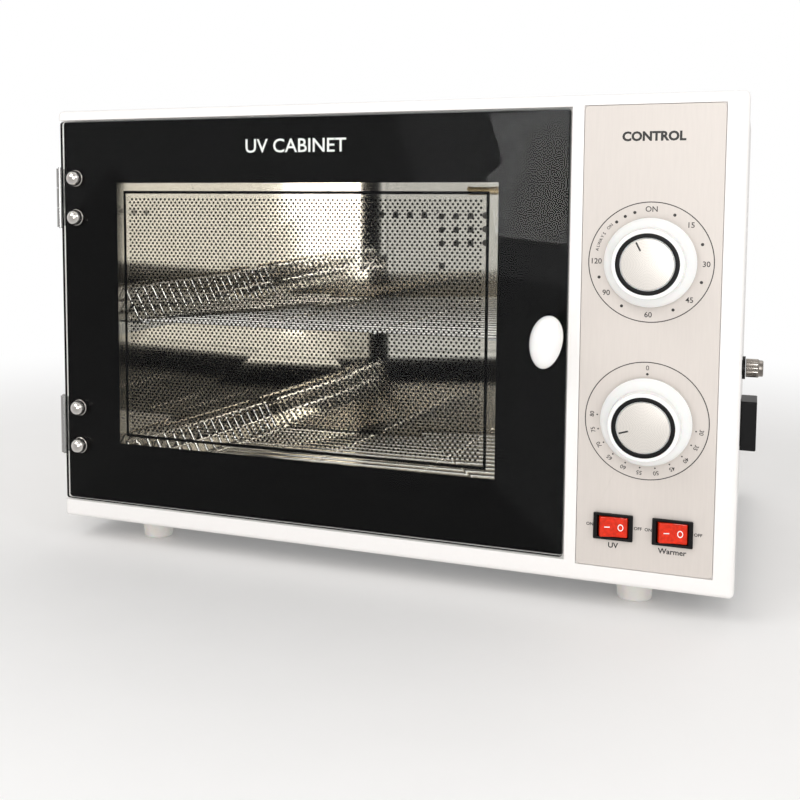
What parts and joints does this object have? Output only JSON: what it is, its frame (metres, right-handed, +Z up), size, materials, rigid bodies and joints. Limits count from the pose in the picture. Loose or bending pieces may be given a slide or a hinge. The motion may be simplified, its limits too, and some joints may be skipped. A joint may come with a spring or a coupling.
{
  "type": "ultraviolet sterilizer cabinet",
  "caption": "Countertop ultraviolet tool sterilizer with a hinged dark glass door, two wire baskets, timer and temperature knobs and two rocker switches.",
  "frame": {"origin": "centre of the bounding box in plan, on the surface the four feet stand on", "axes": "+X runs from the hinge side to the control side, +Y from the front to the back, +Z up"},
  "size_m": [0.4368, 0.314, 0.286],
  "materials": {
    "white_paint": "smooth gloss powder coat",
    "white_plastic": "glossy moulded plastic",
    "panel_grey": "satin printed control plate",
    "black_glass": "tempered glass with a black printed border and a dotted clear window",
    "stainless": "polished stainless sheet",
    "chrome": "bright chrome plating",
    "galvanised": "galvanised sheet",
    "dark_steel": "dark enamelled case",
    "black_plastic": "satin black plastic",
    "dark_plastic": "matte dark plastic",
    "red_lens": "translucent red plastic",
    "champagne": "satin champagne disc with a black ring",
    "brass": "plain brass and copper",
    "quartz": "clear quartz tube",
    "mica": "mica sheet heater",
    "socket_plastic": "off-white socket plastic",
    "foot_plastic": "pale translucent plastic",
    "movement": "moulded movement case",
    "dark_chrome": "dark nickel plated cap"
  },
  "bodies": {
    "cabinet": {"ballast": "dark_steel", "base_pan": "galvanised", "chamber_liner": "stainless", "control_panel": "panel_grey", "door_switch_body": "dark_plastic", "foot_front_left": "foot_plastic", "foot_front_right": "foot_plastic", "foot_rear_left": "foot_plastic", "foot_rear_right": "foot_plastic", "front_frame": "white_paint", "fuse": "quartz", "fuse_cap": "dark_chrome", "fuse_holder": "black_plastic", "heater_plate": "mica", "inlet_pin_1": "brass", "inlet_pin_2": "brass", "inlet_pin_3": "brass", "lamp_reflector": "stainless", "lamp_socket_left": "socket_plastic", "lamp_socket_right": "socket_plastic", "lamp_starter": "white_plastic", "lower_frame_hinge_leaf": "stainless", "lower_hinge_pin": "stainless", "magnetic_catch": "dark_plastic", "outer_cover": "white_paint", "power_inlet": "black_plastic", "rear_panel": "white_paint", "basket_rail_left": "stainless", "basket_rail_right": "stainless", "starter_socket": "socket_plastic", "terminal_block": "socket_plastic", "thermostat_body": "movement", "thermostat_sensor": "brass", "timer_movement": "movement", "upper_frame_hinge_leaf": "stainless", "upper_hinge_pin": "stainless", "uv_lamp_tube": "quartz", "uv_switch_body": "black_plastic", "warmer_switch_body": "black_plastic", "lower_wire_basket": "chrome", "upper_wire_basket": "chrome"},
    "door": {"door_glass": "black_glass", "door_handle": "white_plastic", "handle_screw": "stainless", "strike_plate": "galvanised", "upper_door_hinge_leaf": "stainless", "lower_door_hinge_leaf": "stainless", "upper_hinge_nut_bottom": "chrome", "upper_hinge_nut_top": "chrome", "lower_hinge_nut_bottom": "chrome", "lower_hinge_nut_top": "chrome"},
    "timer": {"timer_knob": "white_plastic", "timer_knob_insert": "champagne", "timer_shaft": "brass"},
    "thermostat": {"thermostat_knob": "white_plastic", "thermostat_knob_insert": "champagne", "thermostat_shaft": "brass"},
    "uv_rocker": {"uv_rocker": "red_lens"},
    "warmer_rocker": {"warmer_rocker": "red_lens"},
    "plunger": {"door_switch_plunger": "white_plastic"}
  },
  "joints": [
    {"name": "door_hinge", "type": "hinge", "parent": "cabinet", "child": "door", "pos_m": [-0.2162, -0.1325, 0.143], "axis": [0, 0, -1], "range_deg": [0, 110]},
    {"name": "timer_turn", "type": "hinge", "parent": "cabinet", "child": "timer", "pos_m": [0.1591, -0.135, 0.196], "axis": [0, 1, 0], "range_deg": [0, 299]},
    {"name": "thermostat_turn", "type": "hinge", "parent": "cabinet", "child": "thermostat", "pos_m": [0.1591, -0.135, 0.1096], "axis": [0, 1, 0], "range_deg": [-253, 27]},
    {"name": "uv_rocker_tilt", "type": "hinge", "parent": "cabinet", "child": "uv_rocker", "pos_m": [0.14315, -0.134, 0.04945], "axis": [0, 0, -1], "range_deg": [0, 20]},
    {"name": "warmer_rocker_tilt", "type": "hinge", "parent": "cabinet", "child": "warmer_rocker", "pos_m": [0.1744, -0.134, 0.04945], "axis": [0, 0, -1], "range_deg": [0, 20]},
    {"name": "door_switch_press", "type": "slide", "parent": "cabinet", "child": "plunger", "axis": [0, 1, 0], "range_m": [0, 0.002], "stiffness_N_per_m": 200, "springref_m": -0.003}
  ]
}
